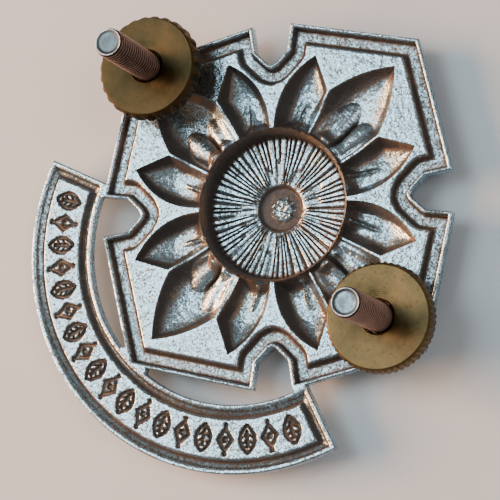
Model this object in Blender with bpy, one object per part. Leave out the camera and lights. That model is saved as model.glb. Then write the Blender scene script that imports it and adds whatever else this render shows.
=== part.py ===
"""Cap badge with two screw posts and two round knurled nuts, lying face down.

The badge is one struck sheet-metal body: an eight-sided plate with four notches, a hollow
sunflower pressed into its middle, and an arched scroll that hugs the plate's lower corners.
Two screw posts are soldered to the back, and a brass nut runs on each of them.

Frame: +Z comes out of the badge's back, +Y is the badge's own upward direction, and +X is to
the right as the back is seen. The face rests on z = 0, and the flower's centre is at x = y = 0.
Lengths are written in millimetres and scaled to metres when the meshes are made.
"""
import math

import bmesh
import bpy
from mathutils import Matrix, Vector
from mathutils.geometry import delaunay_2d_cdt

MM = 0.001

# --- Depths of the hollows, and thicknesses of the metal under them ---------------------------
DISC_DEPTH = 2.45            # ribbed disc, below the back
BUTTON_DEPTH = 0.30          # extra depth of the hollow in the disc's middle
BUTTON_SHEET = 0.55          # metal under that hollow
PETAL_DEPTH = 1.90
PETAL_SHEET = 1.25
SHEET = 1.00                 # at the lip and the field
BACK_LEVEL = max(DISC_DEPTH + BUTTON_DEPTH + BUTTON_SHEET, PETAL_DEPTH + PETAL_SHEET)
FRONT_LEVEL = BACK_LEVEL - SHEET

# --- Plate ----------------------------------------------------------------------------------
PLATE_CORNER_RADIUS = 21.90  # centre to each of the four true corners
PLATE_PEAK_DISTANCE = 18.60  # centre to the mouth of each notch
NOTCH_HALF_WIDTH = 2.10      # at the mouth
NOTCH_SHOULDER_DEPTH = 2.75  # where the walls turn towards the notch's point
NOTCH_SHOULDER_HALF = 1.70
NOTCH_DEPTH = 4.25
NOTCH_POINT_HALF = 0.40      # half-width where the point is blunted
NOTCH_POINT_RISE = 0.20

# --- Border of the plate: a flat lip, then a channel, then the field --------------------------
LIP_WIDTH = 0.38
CHANNEL_OUTER_RUN = 0.22     # sideways run of the channel's wall under the lip
CHANNEL_FLOOR_WIDTH = 0.90
CHANNEL_INNER_RUN = 0.55     # sideways run of the wall up to the field
BORDER_WIDTH = LIP_WIDTH + CHANNEL_OUTER_RUN + CHANNEL_FLOOR_WIDTH + CHANNEL_INNER_RUN
CHANNEL_DEPTH = 0.80
MOULDING_RISE = 0.70         # how far the border stands out on the front

# --- Scroll ---------------------------------------------------------------------------------
SCROLL_WIDTH = 6.84
SCROLL_OVERLAP = 0.42        # how far the plate's lowest corner reaches into the scroll
SCROLL_END_GAP = 0.33        # scroll's inner edge to the notch corner that the web closes
SCROLL_TAIL = 1.45           # length of the end web along the plate's edge
SCROLL_FOOT = 1.90           # half-width of the web at the plate's lowest corner
SCROLL_LIP_WIDTH = 0.50
SCROLL_CHANNEL_RUN = 0.30    # sideways run of both walls of the scroll's channel
SCROLL_CHANNEL_WIDTH = 0.35
SCROLL_CHANNEL_DEPTH = 0.35
SCROLL_RISE = 0.30           # how far the scroll's panel stands out on the front
SCROLL_STEPS = 36

# --- Flower ---------------------------------------------------------------------------------
DISC_RADIUS = 7.15           # floor of the ribbed disc
DISC_WALL_RUN = 0.55         # sideways run of the wall around the disc
BUTTON_RADIUS = 2.55
BUTTON_WALL_RUN = 0.50
RING_DROP = 0.35             # top of the disc's wall, below the back
RING_SHEET = 1.80            # metal under that, at the groove round the disc's front
RING_SEGMENTS = 48
PETAL_ROOT_GAP = 0.25        # ridge between the disc's wall and the petals
LARGE_PETAL_TIP = 18.40
LARGE_PETAL_ROOT_HALF = 17.0 # degrees from the petal's middle to its root corner
LARGE_PETAL_BOW = 0.45       # how far its sides bulge from straight
SMALL_PETAL_TIP = 15.70
SMALL_PETAL_SPREAD = 17.6    # degrees from the notch's direction to each small petal's tip
SMALL_PETAL_EDGE_GAP = 0.36  # its side that faces the notch, to the field's edge there
SMALL_PETAL_ROOT_GAP = 1.3   # degrees from the notch's direction to the root corner
CUSP_RISE = 4.80             # petals' roots to where a large and a small petal part
CUSP_ANGLE = 16.6            # degrees from the large petal's middle
PETAL_RIDGE = 0.30           # gap between neighbouring petals
PETAL_SIDE_STEPS = 4
PETAL_WALL_RUN = 1.00        # sideways run of a petal hollow's wall
PETAL_WALL_DROP = 1.40       # depth half-way down a petal hollow's wall
PETAL_SHOULDER_DROP = 0.15   # front's last fall, from half-way down the wall to its foot

# --- Posts, solder and nuts -------------------------------------------------------------------
POST_RADIUS = 1.50
POST_HEIGHT = 13.50          # tip above the back
POST_CHAMFER = 0.25
POST_INSETS = {"left": 3.35, "right": 4.60}        # in from the plate's corner
POST_RISES = {"left": 1.72, "right": -0.32}        # above the line between the corners
SOLDER_FOOT_WIDTH = 0.30     # round the post's foot
SOLDER_FLOOR = 0.30
SOLDER_HEIGHT = 0.90
SOLDER_LIP = 0.14            # thickness of the solder collar at its top
JOINT_GAP = 0.05             # between soldered faces
NUT_RADIUS = 5.40
NUT_THICKNESS = 2.20
NUT_CHAMFER = 0.36
NUT_CLEARANCE = 0.09         # radial, over the thread
NUT_COUNTERSINK = 0.38       # both across and deep
NUT_HEIGHTS = {"left": 2.20, "right": 1.40}        # inner face above the back
ROUND_SEGMENTS = 48
SHARP_ANGLE = 35.0           # degrees between faces above which an edge is left sharp


def clear_scene():
    """Remove every object that the file starts with."""
    for obj in list(bpy.data.objects):
        bpy.data.objects.remove(obj, do_unlink=True)


def metal(name, colour, roughness):
    """Return a metallic Principled material."""
    material = bpy.data.materials.new(name)
    material.use_nodes = True
    shader = material.node_tree.nodes["Principled BSDF"]
    shader.inputs["Base Color"].default_value = (*colour, 1.0)
    shader.inputs["Metallic"].default_value = 1.0
    shader.inputs["Roughness"].default_value = roughness
    return material


def link_mesh(name, bm, material, location=(0.0, 0.0, 0.0)):
    """Turn a bmesh in millimetres into a linked object in metres."""
    bmesh.ops.scale(bm, vec=(MM, MM, MM), verts=bm.verts)
    mesh = bpy.data.meshes.new(name)
    bm.to_mesh(mesh)
    bm.free()
    mesh.materials.append(material)
    mesh.shade_smooth()
    mesh.set_sharp_from_angle(angle=math.radians(SHARP_ANGLE))
    obj = bpy.data.objects.new(name, mesh)
    obj.location = [MM * value for value in location]
    bpy.context.scene.collection.objects.link(obj)
    return obj


# --- Plan geometry ----------------------------------------------------------------------------

def polar(radius, degrees):
    """Return the plan point at a radius and an angle from +X."""
    angle = math.radians(degrees)
    return Vector((radius * math.cos(angle), radius * math.sin(angle)))


def on_axis(degrees, along, across):
    """Return the point at a distance along a direction, and a distance to its left."""
    angle = math.radians(degrees)
    forward = Vector((math.cos(angle), math.sin(angle)))
    left = Vector((-forward.y, forward.x))
    return along * forward + across * left


def notch_points(degrees):
    """Return one notch, from its first mouth corner round to the other."""
    bottom = PLATE_PEAK_DISTANCE - NOTCH_DEPTH
    half = [
        (PLATE_PEAK_DISTANCE, NOTCH_HALF_WIDTH),
        (PLATE_PEAK_DISTANCE - NOTCH_SHOULDER_DEPTH, NOTCH_SHOULDER_HALF),
        (bottom + NOTCH_POINT_RISE, NOTCH_POINT_HALF),
    ]
    first = [on_axis(degrees, along, -across) for along, across in half]
    second = [on_axis(degrees, along, across) for along, across in reversed(half)]
    return first + [on_axis(degrees, bottom, 0.0)] + second


def plate_outline():
    """Return the plate's outline, anticlockwise from its right corner, by named stretches."""
    corners = [polar(PLATE_CORNER_RADIUS, 90.0 * quarter) for quarter in range(4)]
    notches = [notch_points(45.0 + 90.0 * quarter) for quarter in range(4)]
    right, top, left, bottom = corners
    return {
        "upper": [right] + notches[0] + [top] + notches[1] + [left],
        "left_tail": along_edge(notches[2][0], left, SCROLL_TAIL),
        "left_notch": notches[2],
        "left_foot": along_edge(bottom, notches[2][-1], SCROLL_FOOT),
        "bottom": bottom,
        "right_foot": along_edge(bottom, notches[3][0], SCROLL_FOOT),
        "right_notch": notches[3],
        "right_tail": along_edge(notches[3][-1], right, SCROLL_TAIL),
    }


def plate_loop(outline, with_webs):
    """Return the plate's whole outline as a closed loop, with or without the webs' points."""
    loop = list(outline["upper"])
    for name in ("left_tail", "left_notch", "left_foot", "bottom",
                 "right_foot", "right_notch", "right_tail"):
        stretch = outline[name]
        if isinstance(stretch, list):
            loop += stretch
        elif with_webs or name == "bottom":
            loop.append(stretch)
    return loop


def along_edge(start, end, distance):
    """Return the point at a distance from start towards end."""
    return start + (end - start).normalized() * distance


def offset_loop(points, distance):
    """Return an anticlockwise closed loop moved inwards by a distance, with mitred corners."""
    moved = []
    count = len(points)
    for index, point in enumerate(points):
        before = (point - points[index - 1]).normalized()
        after = (points[(index + 1) % count] - point).normalized()
        normal_before = Vector((-before.y, before.x))
        normal_after = Vector((-after.y, after.x))
        mitre = (normal_before + normal_after).normalized()
        moved.append(point + mitre * (distance / mitre.dot(normal_after)))
    return moved


class Relief:
    """Plan points, each with a back and a front height, and the plan edges between them."""

    def __init__(self):
        self.points = []
        self.heights = []
        self.edges = []
        self.lookup = {}

    def add(self, point, back, front):
        """Add a point once, and return its index."""
        key = (round(point.x, 4), round(point.y, 4))
        if key not in self.lookup:
            self.lookup[key] = len(self.points)
            self.points.append(point.copy())
            self.heights.append((back, front))
        return self.lookup[key]

    def add_line(self, points, back, front, closed=True):
        """Add a run of points at one pair of heights, joined by edges."""
        ids = [self.add(point, back, front) for point in points]
        for first, second in zip(ids, ids[1:]):
            self.edges.append((first, second))
        if closed:
            self.edges.append((ids[-1], ids[0]))
        return ids

    def build(self, outer, holes):
        """Triangulate the plan inside the outer loop and outside the holes, and close it."""
        plan, _, faces, origins, _, _ = delaunay_2d_cdt(self.points, self.edges, [], 0, 1e-6)
        bm = bmesh.new()
        back = []
        front = []
        for point, origin in zip(plan, origins):
            heights = self.heights[origin[0]]
            back.append(bm.verts.new((point.x, point.y, heights[0])))
            front.append(bm.verts.new((point.x, point.y, heights[1])))
        for face in faces:
            centre = sum((plan[index] for index in face), Vector((0.0, 0.0))) / len(face)
            if not inside(centre, outer) or any(inside(centre, hole) for hole in holes):
                continue
            bm.faces.new([back[index] for index in face])
            bm.faces.new([front[index] for index in reversed(face)])
        partner = dict(zip(back, front))
        rims = [edge for edge in bm.edges if edge.is_boundary and edge.verts[0] in partner]
        for edge in rims:
            first, second = edge.link_loops[0].vert, edge.link_loops[0].link_loop_next.vert
            bm.faces.new([second, first, partner[first], partner[second]])
        loose = [vert for vert in bm.verts if not vert.link_faces]
        bmesh.ops.delete(bm, geom=loose, context="VERTS")
        bmesh.ops.triangulate(bm, faces=bm.faces)
        bmesh.ops.recalc_face_normals(bm, faces=bm.faces)
        return bm


def inside(point, loop):
    """Say whether a plan point is inside a closed loop."""
    hit = False
    for first, second in zip(loop, loop[1:] + loop[:1]):
        if (first.y > point.y) != (second.y > point.y):
            reach = (point.y - first.y) / (second.y - first.y)
            if point.x < first.x + reach * (second.x - first.x):
                hit = not hit
    return hit


# --- The struck badge -------------------------------------------------------------------------

class Scroll:
    """The arched scroll's circle and ends, worked out from the plate that it hugs."""

    def __init__(self, outline):
        corner = outline["right_notch"][-1]
        foot = PLATE_CORNER_RADIUS - SCROLL_OVERLAP
        gap_point = corner + corner.normalized() * SCROLL_END_GAP
        rise = foot + gap_point.y
        self.inner = (rise * rise + gap_point.x ** 2) / (2.0 * rise)
        self.outer = self.inner + SCROLL_WIDTH
        self.centre = Vector((0.0, self.inner - foot))
        self.web_angle = self.angle_of(gap_point)
        self.end_angle = self.angle_of(outline["right_tail"])
        self.foot_angle = math.asin(SCROLL_FOOT / self.inner)

    def angle_of(self, point):
        """Return the angle of a point at the scroll's centre, from straight down."""
        arm = point - self.centre
        return math.atan2(arm.x, -arm.y)

    def at(self, radius, angle):
        """Return a plan point from a radius and an angle from straight down."""
        return self.centre + radius * Vector((math.sin(angle), -math.cos(angle)))

    def arc(self, radius, first, last, steps):
        """Return points along an arc between two angles."""
        return [self.at(radius, first + (last - first) * step / steps) for step in range(steps + 1)]

    def loop(self, inset):
        """Return the scroll's outline moved inwards, anticlockwise."""
        outer = self.outer - inset
        inner = self.inner + inset
        outer_end = self.end_angle - inset / outer
        inner_end = self.end_angle - inset / inner
        low = self.arc(outer, -outer_end, outer_end, SCROLL_STEPS)
        high = self.arc(inner, inner_end, -inner_end, SCROLL_STEPS)
        return low + high


def bowed(start, end, bow, steps):
    """Return points from start up to, not including, end, bulging to the left by bow."""
    run = end - start
    left = Vector((-run.y, run.x)).normalized()
    points = []
    for step in range(steps):
        share = step / steps
        points.append(start + run * share + left * (4.0 * bow * share * (1.0 - share)))
    return points


def petal_outlines():
    """Return the twelve petal outlines, each anticlockwise."""
    root = DISC_RADIUS + DISC_WALL_RUN + PETAL_ROOT_GAP
    cusp = polar(root + CUSP_RISE, CUSP_ANGLE)
    gap = polar(PETAL_RIDGE / 2, CUSP_ANGLE + 90.0)
    steps = PETAL_SIDE_STEPS
    large_root = polar(root, LARGE_PETAL_ROOT_HALF) - gap
    large_tip = polar(LARGE_PETAL_TIP, 0.0)
    upper = bowed(large_tip, cusp - gap, -LARGE_PETAL_BOW, steps) + [cusp - gap, large_root]
    lower = [Vector((point.x, -point.y)) for point in reversed(upper[1:])]
    large = upper + [polar(root, 0.0)] + lower
    small_root = polar(root, LARGE_PETAL_ROOT_HALF) + gap
    small_tip = polar(SMALL_PETAL_TIP, 45.0 - SMALL_PETAL_SPREAD)
    notch_root = polar(root, 45.0 - SMALL_PETAL_ROOT_GAP)
    notch_wall = (PLATE_PEAK_DISTANCE - NOTCH_SHOULDER_DEPTH - NOTCH_SHOULDER_HALF) / math.sqrt(2.0)
    bulge_level = notch_wall - BORDER_WIDTH - SMALL_PETAL_EDGE_GAP
    small_bow = bulge_level - (small_tip.y + notch_root.y) / 2
    small = [small_root, cusp + gap]
    small += bowed(small_tip, notch_root, -small_bow, steps)
    small += [notch_root, polar(root, 30.0)]
    outlines = []
    for quarter in range(4):
        turn = Matrix.Rotation(math.radians(90.0 * quarter), 2)
        outlines.append([turn @ point for point in large])
        outlines.append([turn @ point for point in small])
        outlines.append([turn @ Vector((point.x, -point.y)) for point in reversed(small)])
    return outlines


def add_flower(relief):
    """Add the ribbed disc's hollow, its button and the twelve petal hollows."""
    disc_floor = BACK_LEVEL - DISC_DEPTH
    ring_top = BACK_LEVEL - RING_DROP
    petal_front = BACK_LEVEL - PETAL_DEPTH - PETAL_SHEET
    ring = 360.0 / RING_SEGMENTS
    circles = [
        (BUTTON_RADIUS - BUTTON_WALL_RUN, disc_floor - BUTTON_DEPTH, 0.0),
        (BUTTON_RADIUS, disc_floor, 0.0),
        (DISC_RADIUS, disc_floor, 0.0),
        (DISC_RADIUS + DISC_WALL_RUN, ring_top, ring_top - RING_SHEET),
    ]
    relief.add(Vector((0.0, 0.0)), disc_floor - BUTTON_DEPTH, 0.0)
    for radius, back, front in circles:
        points = [polar(radius, ring * step) for step in range(RING_SEGMENTS)]
        relief.add_line(points, back, front)
    levels = [
        (0.0, BACK_LEVEL, FRONT_LEVEL),
        (PETAL_WALL_RUN / 2, BACK_LEVEL - PETAL_WALL_DROP, petal_front + PETAL_SHOULDER_DROP),
        (PETAL_WALL_RUN, BACK_LEVEL - PETAL_DEPTH, petal_front),
    ]
    for outline in petal_outlines():
        for inset, back, front in levels:
            relief.add_line(offset_loop(outline, inset), back, front)


def add_border(relief, outline):
    """Add the lip, grooves and band that follow the plate's edge."""
    relief.add_line(plate_loop(outline, with_webs=True), BACK_LEVEL, FRONT_LEVEL)
    outer_foot = LIP_WIDTH + CHANNEL_OUTER_RUN
    inner_foot = outer_foot + CHANNEL_FLOOR_WIDTH
    steps = [
        (LIP_WIDTH, 0.0, 0.0),
        (outer_foot, CHANNEL_DEPTH, MOULDING_RISE),
        (inner_foot, CHANNEL_DEPTH, MOULDING_RISE),
        (BORDER_WIDTH, 0.0, 0.0),
    ]
    loop = plate_loop(outline, with_webs=False)
    for inset, drop, rise in steps:
        relief.add_line(offset_loop(loop, inset), BACK_LEVEL - drop, FRONT_LEVEL - rise)


def add_scroll(relief, scroll):
    """Add the scroll's lip, its channel and its panel."""
    outer_foot = SCROLL_LIP_WIDTH + SCROLL_CHANNEL_RUN
    inner_foot = outer_foot + SCROLL_CHANNEL_WIDTH
    steps = [
        (SCROLL_LIP_WIDTH, 0.0, 0.0),
        (outer_foot, SCROLL_CHANNEL_DEPTH, SCROLL_RISE),
        (inner_foot, SCROLL_CHANNEL_DEPTH, SCROLL_RISE),
        (inner_foot + SCROLL_CHANNEL_RUN, 0.0, SCROLL_RISE),
    ]
    for inset, drop, rise in steps:
        relief.add_line(scroll.loop(inset), BACK_LEVEL - drop, FRONT_LEVEL - rise)


def badge_boundary(outline, scroll):
    """Return the badge's outer loop and the two holes between the plate and the scroll."""
    outer_end = scroll.end_angle
    rim = scroll.arc(scroll.outer, -outer_end, outer_end, SCROLL_STEPS)
    outer = outline["upper"] + [outline["left_tail"]] + rim + [outline["right_tail"]]
    hole_steps = SCROLL_STEPS // 3
    left_arc = scroll.arc(scroll.inner, -scroll.foot_angle, -scroll.web_angle, hole_steps)
    right_arc = scroll.arc(scroll.inner, scroll.web_angle, scroll.foot_angle, hole_steps)
    left_hole = outline["left_notch"] + [outline["left_foot"]] + left_arc
    right_hole = [outline["right_foot"]] + outline["right_notch"] + right_arc
    return outer, [left_hole, right_hole]


def make_badge(material):
    """Make the struck badge: plate, flower and scroll in one sheet."""
    outline = plate_outline()
    scroll = Scroll(outline)
    outer, holes = badge_boundary(outline, scroll)
    relief = Relief()
    for loop in [outer] + holes:
        relief.add_line(loop, BACK_LEVEL, FRONT_LEVEL)
    add_border(relief, outline)
    add_scroll(relief, scroll)
    add_flower(relief)
    return link_mesh("struck_badge", relief.build(outer, holes), material)


# --- Turned pieces ----------------------------------------------------------------------------

def lathe(profile, closed):
    """Turn a profile of (radius, height) pairs about Z; an open profile starts and ends on Z."""
    bm = bmesh.new()
    rings = []
    for radius, height in profile:
        if radius == 0.0:
            rings.append([bm.verts.new((0.0, 0.0, height))])
            continue
        ring = [polar(radius, 360.0 * step / ROUND_SEGMENTS) for step in range(ROUND_SEGMENTS)]
        rings.append([bm.verts.new((point.x, point.y, height)) for point in ring])
    pairs = list(zip(rings, rings[1:]))
    if closed:
        pairs.append((rings[-1], rings[0]))
    for low, high in pairs:
        for step in range(ROUND_SEGMENTS):
            following = (step + 1) % ROUND_SEGMENTS
            corners = [low[step % len(low)], low[following % len(low)],
                       high[following % len(high)], high[step % len(high)]]
            bm.faces.new(list(dict.fromkeys(corners)))
    bmesh.ops.recalc_face_normals(bm, faces=bm.faces)
    return bm


def post_place(side, height):
    """Return a place on one post's axis, at a height above the back."""
    across = PLATE_CORNER_RADIUS - POST_INSETS[side]
    if side == "left":
        across = -across
    return across, POST_RISES[side], BACK_LEVEL + height


def make_solder(side, material):
    """Make the solder under and round one post's foot."""
    bore = POST_RADIUS + JOINT_GAP
    profile = [
        (0.0, 0.0), (bore + SOLDER_FOOT_WIDTH, 0.0), (bore + SOLDER_LIP, SOLDER_HEIGHT),
        (bore, SOLDER_HEIGHT), (bore, SOLDER_FLOOR), (0.0, SOLDER_FLOOR),
    ]
    place = post_place(side, JOINT_GAP)
    return link_mesh(f"{side}_solder", lathe(profile, closed=False), material, place)


def make_post(side, material):
    """Make one screw post, with its tip chamfered."""
    foot = SOLDER_FLOOR + 2.0 * JOINT_GAP
    length = POST_HEIGHT - foot
    profile = [
        (0.0, 0.0), (POST_RADIUS, 0.0), (POST_RADIUS, length - POST_CHAMFER),
        (POST_RADIUS - POST_CHAMFER, length), (0.0, length),
    ]
    place = post_place(side, foot)
    return link_mesh(f"{side}_screw_post", lathe(profile, closed=False), material, place)


def make_nut(side, material):
    """Make one round nut, part-way up its post, with its origin on the post's axis."""
    bore = POST_RADIUS + NUT_CLEARANCE
    sink = bore + NUT_COUNTERSINK
    top = NUT_THICKNESS
    profile = [
        (NUT_RADIUS - NUT_CHAMFER, 0.0), (NUT_RADIUS, NUT_CHAMFER),
        (NUT_RADIUS, top - NUT_CHAMFER), (NUT_RADIUS - NUT_CHAMFER, top),
        (sink, top), (bore, top - NUT_COUNTERSINK), (bore, NUT_COUNTERSINK), (sink, 0.0),
    ]
    place = post_place(side, NUT_HEIGHTS[side])
    return link_mesh(f"{side}_nut", lathe(profile, closed=True), material, place)


def main():
    clear_scene()
    nickel_silver = metal("nickel_silver", (0.62, 0.62, 0.60), 0.35)
    copper_alloy = metal("copper_alloy", (0.55, 0.36, 0.27), 0.35)
    solder = metal("solder", (0.50, 0.50, 0.48), 0.45)
    brass = metal("brass", (0.48, 0.38, 0.20), 0.40)
    make_badge(nickel_silver)
    for side in POST_INSETS:
        make_solder(side, solder)
        make_post(side, copper_alloy)
        make_nut(side, brass)


main()
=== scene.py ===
"""Looks of the cap badge: a struck badge seen from its back, two screw posts and two knurled nuts.

Everything is in the row's frame: the face rests on z = 0 and +Z comes out of the badge's back.
Plan work is done in millimetres and turned into metres when a mesh is made.
"""
import math

import bpy
import numpy as np
from mathutils import Matrix, Vector
from mathutils.geometry import delaunay_2d_cdt


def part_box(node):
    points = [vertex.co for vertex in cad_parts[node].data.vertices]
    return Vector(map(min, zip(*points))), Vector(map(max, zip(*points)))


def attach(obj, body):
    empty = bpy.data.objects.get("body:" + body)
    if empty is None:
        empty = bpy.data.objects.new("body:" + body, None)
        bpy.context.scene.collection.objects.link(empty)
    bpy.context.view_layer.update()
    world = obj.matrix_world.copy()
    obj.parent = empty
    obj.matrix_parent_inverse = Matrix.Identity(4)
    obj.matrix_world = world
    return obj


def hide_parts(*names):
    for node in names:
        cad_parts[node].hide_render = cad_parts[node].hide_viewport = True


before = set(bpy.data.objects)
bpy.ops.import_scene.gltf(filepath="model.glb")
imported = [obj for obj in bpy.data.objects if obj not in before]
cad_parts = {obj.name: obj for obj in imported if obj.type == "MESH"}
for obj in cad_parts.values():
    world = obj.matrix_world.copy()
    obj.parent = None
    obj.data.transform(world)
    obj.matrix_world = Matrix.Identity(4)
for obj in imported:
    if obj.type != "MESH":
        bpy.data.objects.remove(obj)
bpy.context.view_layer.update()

MM = 0.001

# --- Levels, read from the frame (mm) ---
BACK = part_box("struck_badge")[1].z / MM  # lip, field and webs on the back
SHEET = 1.00  # sheet thickness at the lip and the field
FRONT = BACK - SHEET

# --- Plan of the plate, as in the CAD (mm) ---
CORNER_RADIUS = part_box("struck_badge")[1].y / MM
PEAK_DISTANCE = 18.60
NOTCH_HALF_WIDTH = 2.10
NOTCH_SHOULDER_DEPTH = 2.75
NOTCH_SHOULDER_HALF = 1.70
NOTCH_DEPTH = 4.25
NOTCH_POINT_HALF = 0.40
NOTCH_POINT_RISE = 0.20
LIP = 0.38
CHANNEL_WALL = 0.60  # inset where the channel's floor starts
CHANNEL_FLOOR = 1.56  # inset where its floor ends
FIELD_EDGE = 2.05
CHANNEL_DEPTH = 0.80
MOULDING_RISE = 0.70
WALL_EASE = 0.04  # how far a wall's ends are eased past its lines
FIELD_EASE = 0.06

# --- Scroll (mm) ---
SCROLL_WIDTH = 6.84
SCROLL_OVERLAP = 0.42
SCROLL_END_GAP = 0.33
SCROLL_TAIL = 1.45
SCROLL_FOOT = 1.90
SCROLL_LIP = 0.50
SCROLL_FLOOR = 0.80  # inset where the scroll channel's floor starts
SCROLL_FLOOR_END = 1.12
SCROLL_PANEL = 1.50
SCROLL_DEPTH = 0.58
SCROLL_STEP = 0.40  # share of that depth taken just inside the scroll's lip
STEP_BEFORE = 0.08  # where that step starts and ends, from the lip's line
STEP_AFTER = 0.12
SCROLL_RISE = 0.30
PANEL_SINK = 0.18  # how far the front's panel lies behind its marks
PANEL_EDGE = 0.15
MARK_COUNT = 19  # leaves and lozenges along the scroll
MARK_DEPTH = 0.32
MARK_HALF_HEIGHT = 1.42
MARK_HALF_WIDTH = 0.78
MARK_END_GAP = 0.55  # plain stretch at each end of the row of marks
LINE_HALF_WIDTH = 0.17
LINE_FLOOR = 0.45  # where a cut line's floor and wall end, in half-widths
LINE_WALL = 1.5
VEIN_HALF = 0.75  # half-length of a leaf's middle vein before it thins out
VEIN_TAPER = 0.9
SIDE_VEIN_PITCH = 0.62
SIDE_VEIN_LEAN = 0.9
SIDE_VEIN_THIN = 0.09
LEAF_MARGIN = 0.1
LOZENGE_HALF_WIDTH = 0.74
LOZENGE_HALF_HEIGHT = 1.12
LOZENGE_SLOPE = 0.62  # distance from the lozenge's line for each unit of its size
DOT_RADIUS = 0.12
END_DOT_RADIUS = 0.06
OFF_MARK = 1.0  # a distance that no cut line reaches

# --- Flower (mm) ---
DISC_RADIUS = 7.20
DISC_WALL = 0.42
DISC_DEPTH = 2.45
DISC_DISH = 0.22  # how far the disc's floor curves up towards its wall
DISH_RUN = 2.2
FRONT_WAVE = 0.10  # height of the soft rings on the disc's front
RING_DROP = 0.35
RING_SHEET = 1.80
BUTTON_RADIUS = 2.55
BUTTON_WALL = 0.45
BUTTON_DEPTH = 0.42
STAR_CENTRE = (0.28, 0.10)
STAR_RADIUS = 1.28
STAR_HEIGHT = 0.26
STAR_ROUGH = 0.14  # height of the star's grain
STAR_WALL = 0.35
RIB_COUNT = 70
RIB_SAMPLES = 7
RIB_HEIGHT = 0.32
RIB_HEIGHTS = (0.75, 1.0)  # shares of that height
RIB_START = (2.45, 2.80)  # radius where a rib starts
LATE_RIB_START = (3.6, 4.8)
LATE_RIB_SHARE = 0.22
RIB_FLANK = (0.50, 0.92)  # a rib's flank, from 0 on its crest to 1 in the gap
RIB_RAMP = 0.35
PETAL_ROOT = DISC_RADIUS + DISC_WALL + 0.25
PETAL_DEPTH = 1.90
LARGE_WALL = 1.45  # sideways run of the steep wall round a large petal
SMALL_WALL = 1.05
LARGE_BOWL = 2.60  # sideways run of the gentle bowl inside it
SMALL_BOWL = 2.10
WALL_SHARE = 0.70  # share of the depth that the steep wall takes
WALL_POWER = 1.6
TIP_TAPER = 0.55  # share by which that wall gets narrower and lower towards the tip
TAPER_START = 2.5
PETAL_FRONT_DROP = 2.15
PETAL_FRONT_RUN = 1.3
PETAL_REACH = 8.0  # no point of a petal is further than this from its middle
PETAL_RIDGE = 0.16
RIDGE_SINK = 0.55  # ridge between a large and a small petal, at its lowest
RIDGE_FADE = (5.0, 12.0)  # degrees from the ridge
RIDGE_RUN = 3.0
LARGE_TIP = 18.40
LARGE_ROOT_HALF = 17.0
LARGE_BOW = 0.45
SMALL_TIP = 15.70
SMALL_SPREAD = 17.6
SMALL_BOW = 1.24
SMALL_ROOT_GAP = 1.3
SMALL_DIRECTION = 28.5  # degrees from the nearest large petal
CUSP_RADIUS = 12.75
CUSP_ANGLE = 16.6
BOW_STEPS = 10
LARGE_ROOT_ARC = (12.0, 6.0, 0.0, -6.0, -12.0)
SMALL_ROOT_ARC = (37.0, 30.0, 23.0)

# --- Folds in the petals: along from the root, across from the middle line (mm) ---
PETAL_LEAN = np.array([0.30, 0.15])  # the struck folds sit a little off the petals' middles
LOBE_HEIGHT = 0.82
LOBE_POWER = 0.8
LOBE_START = 1.5
LOBE_HALF_WIDTH = 1.55
LEFT_LOBE = (1.15, 3.6)  # middle and half-length
RIGHT_LOBE = (-1.30, 2.9)
SLIT_DEPTH = 0.42
SLIT_LEAN = 0.05
SLIT_FADE = (2.4, 4.0)
CREASE_HALF_WIDTH = 0.17  # of the slit and of the small petal's rib
RIPPLE_HEIGHT = 0.010
RIPPLE_PITCH = 0.38
RIPPLE_RISE = (2.4, 3.2)
RIPPLE_FALL = (4.6, 5.4)
BULGE_HEIGHT = 0.30
BULGE_MIDDLE = (1.6, -0.1)
BULGE_HALF = (2.6, 1.5)
PETAL_RIB_HEIGHT = 0.34
PETAL_RIB_PLACE = 0.35
PETAL_RIB_LEAN = 0.12
PETAL_RIB_FADE = (1.6, 3.4)
FOLD_EDGE = (0.05, 0.6)
FRONT_FOLD_SHARE = 0.45

# --- Wear, grime, painted shade and painted highlights (mm, and amounts added to or taken from a tarnish and painted light of 0 to 1) ---
GRAIN_HEIGHT = 0.030
WEAR_HEIGHT = 0.020
WEAR_DROP = 0.04
FRONT_GRAIN = 0.012
CALM_EDGE = (0.10, 0.45)  # the grain fades out towards the badge's edge
# Painted shade on the petals' walls, lighter where a wall faces the side light
LIT_SIDE = np.array([-0.76, -0.65])  # walls that face this way, towards the side light, get less painted shade
SIDE_FACING = 0.85  # how far a petal's wall faces its middle line, and its root
TIP_FACING = 0.60
TIP_FACING_RUN = (3.0, 8.0)
LIT_SIDE_FROM = (-0.3, 0.5)
PAINTED_SHADE_AMOUNT = 0.50
LIT_SIDE_SHADE_CUT = 0.72  # how much less painted shade the walls facing the lit side get
PAINTED_SHADE_RUN = 1.60  # the painted shade's width, in wall widths, and how much narrower it is on walls facing the lit side
LIT_SIDE_RUN_CUT = 0.80
PAINTED_SHADE_FADE = (0.45, 1.0)
PAINTED_SHADE_EDGE = (0.0, 0.08)
# Painted highlight on the raised folds in the petals
FOLD_PAINTED_HIGHLIGHT = 0.30
FOLD_HIGHLIGHT_LIFT = (0.10, 0.50)
# Bands of grime and of painted shade: amount, then where the band rises and falls, by inset or by radius
# Painted shade on the border channel's inner wall; grime on the channel's floor
INNER_WALL_PAINTED_SHADE = (0.30, (1.46, 1.60), (1.86, 2.00))
CHANNEL_GRIME = (0.12, (0.55, 0.65), (1.4, 1.5))
# Painted shade on the disc's wall and on the scroll's inner wall
DISC_WALL_PAINTED_SHADE = (0.40, (DISC_RADIUS, DISC_RADIUS + 0.15), (7.8, 8.0))
SCROLL_WALL_PAINTED_SHADE = (0.22, (1.05, 1.18), (1.38, 1.52))
# Painted shade in the button's recess, left off the star
BUTTON_PAINTED_SHADE = 0.95
BUTTON_GRAIN = 0.25
STAR_SHADE = (-0.10, 0.12)
MARK_GRIME = 0.30
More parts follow.
